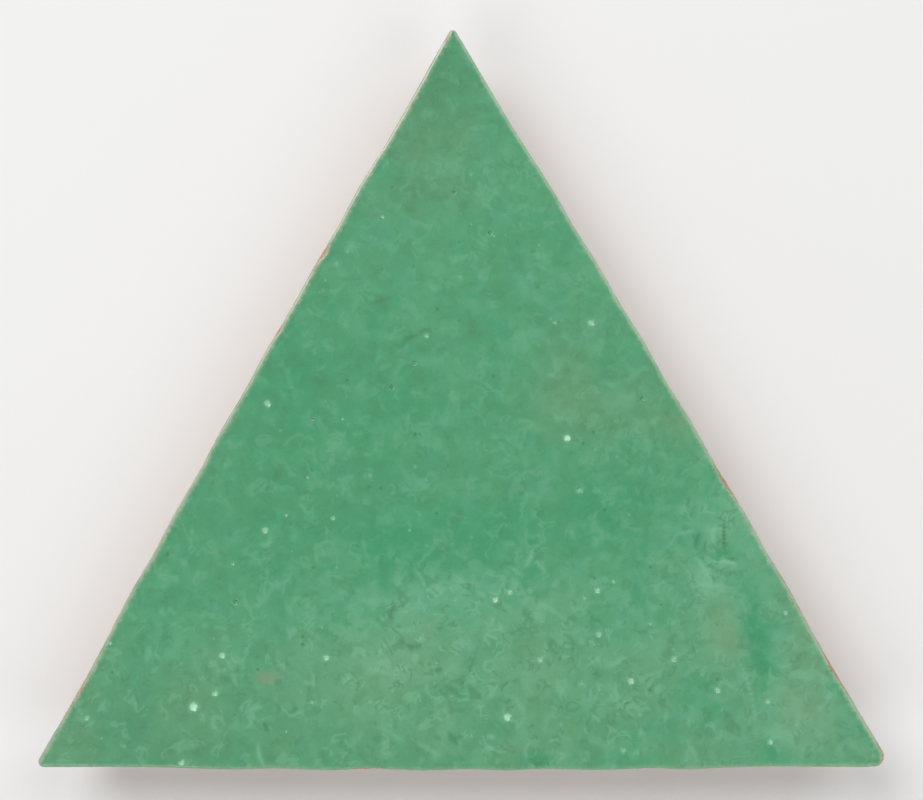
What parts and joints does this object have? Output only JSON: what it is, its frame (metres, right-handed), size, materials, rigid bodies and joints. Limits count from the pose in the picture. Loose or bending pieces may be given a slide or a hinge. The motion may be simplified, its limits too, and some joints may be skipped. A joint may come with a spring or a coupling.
{
  "type": "zellige tile",
  "caption": "Hand-cut triangular terracotta tile with a glossy green glazed face, a clean lip round its face edge and hammer-knapped, undercut sides.",
  "frame": {"origin": "on the back face, under the point where the three medians of the face meet", "axes": "+Z out of the glazed face, +X along the base side, +Y to the apex"},
  "size_m": [0.0984, 0.0861, 0.0115],
  "materials": {
    "glazed_terracotta": "glossy mottled green glaze on the face, bare pale terracotta on the sides and back"
  },
  "bodies": {
    "root": {"tile": "glazed_terracotta"}
  },
  "joints": []
}
